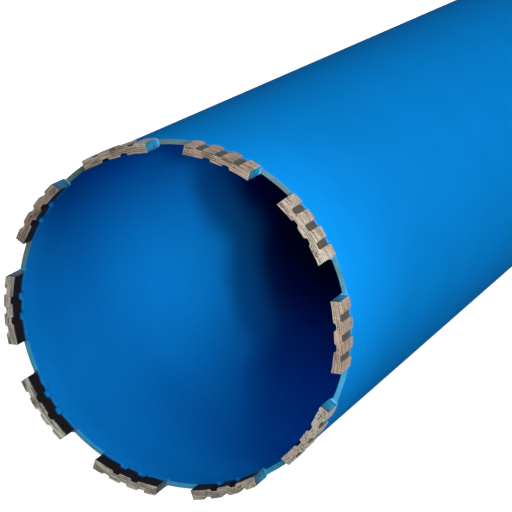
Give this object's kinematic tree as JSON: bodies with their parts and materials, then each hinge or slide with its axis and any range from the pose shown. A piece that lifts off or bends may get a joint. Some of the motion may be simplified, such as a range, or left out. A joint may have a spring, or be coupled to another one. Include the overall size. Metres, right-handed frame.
{
  "type": "diamond core bit",
  "caption": "Thin-walled tubular core drill bit: brazed zigzag diamond segments on the rim, a painted steel barrel and a threaded hub at the rear.",
  "frame": {"origin": "centre of the hub's seating face, at the bottom", "axes": "+Z along the drilling axis, from the hub to the cutting crown; +X through the middle of the first segment"},
  "size_m": [0.122, 0.1212, 0.4846],
  "materials": {
    "barrel_paint": "satin blue paint on steel",
    "seam_paint": "pale blue overspray on silver solder",
    "segment_matrix": "ground sintered metal with diamond grit",
    "hub_steel": "turned steel"
  },
  "bodies": {
    "root": {"barrel": "barrel_paint", "back_plate": "barrel_paint", "plate_weld": "barrel_paint", "hub_weld": "barrel_paint", "threaded_hub": "hub_steel", "segment_01": "segment_matrix", "segment_02": "segment_matrix", "segment_03": "segment_matrix", "segment_04": "segment_matrix", "segment_05": "segment_matrix", "segment_06": "segment_matrix", "segment_07": "segment_matrix", "segment_08": "segment_matrix", "segment_09": "segment_matrix", "segment_10": "segment_matrix", "braze_seam_01": "seam_paint", "braze_seam_02": "seam_paint", "braze_seam_03": "seam_paint", "braze_seam_04": "seam_paint", "braze_seam_05": "seam_paint", "braze_seam_06": "seam_paint", "braze_seam_07": "seam_paint", "braze_seam_08": "seam_paint", "braze_seam_09": "seam_paint", "braze_seam_10": "seam_paint"}
  },
  "joints": []
}
